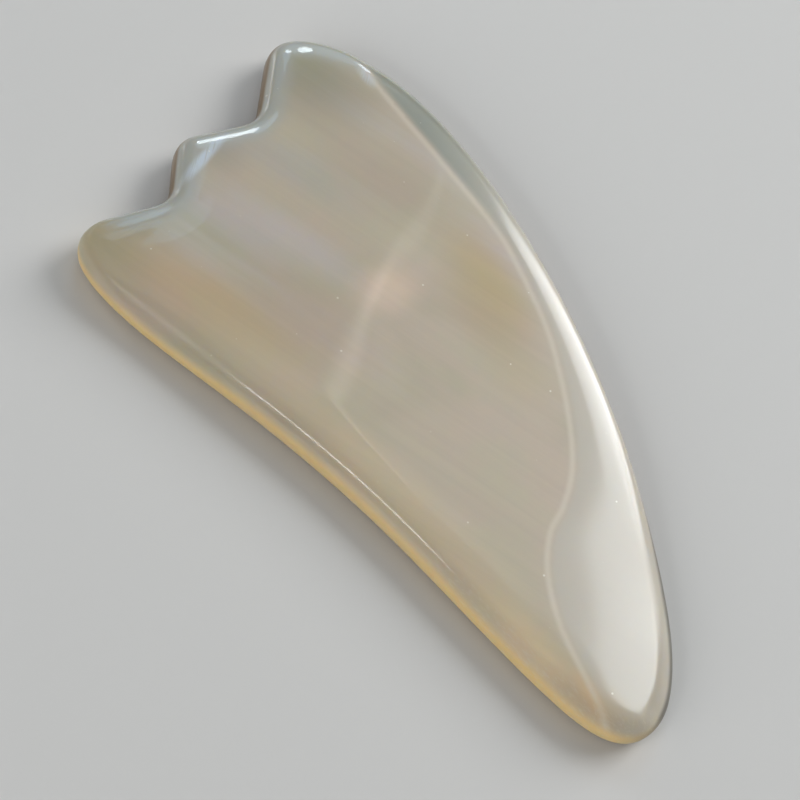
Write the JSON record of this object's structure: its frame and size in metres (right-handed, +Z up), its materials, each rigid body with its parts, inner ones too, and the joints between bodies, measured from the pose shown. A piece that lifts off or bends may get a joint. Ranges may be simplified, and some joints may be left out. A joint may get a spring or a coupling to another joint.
{
  "type": "gua sha scraper",
  "caption": "Palm-sized massage scraper of polished pale horn, with a wavy comb end, a shallow hollow scraping edge, a convex back and a rounded tip.",
  "frame": {"origin": "middle of the board's outline box, on the plane of the flat back that it lies on", "axes": "+X towards the narrow tip, +Y towards the convex back, +Z up through the thickness, out of the front face"},
  "size_m": [0.11, 0.0588, 0.0068],
  "materials": {
    "horn": "hand-polished pale buffalo horn, slightly translucent"
  },
  "bodies": {
    "root": {"horn_board": "horn"}
  },
  "joints": []
}
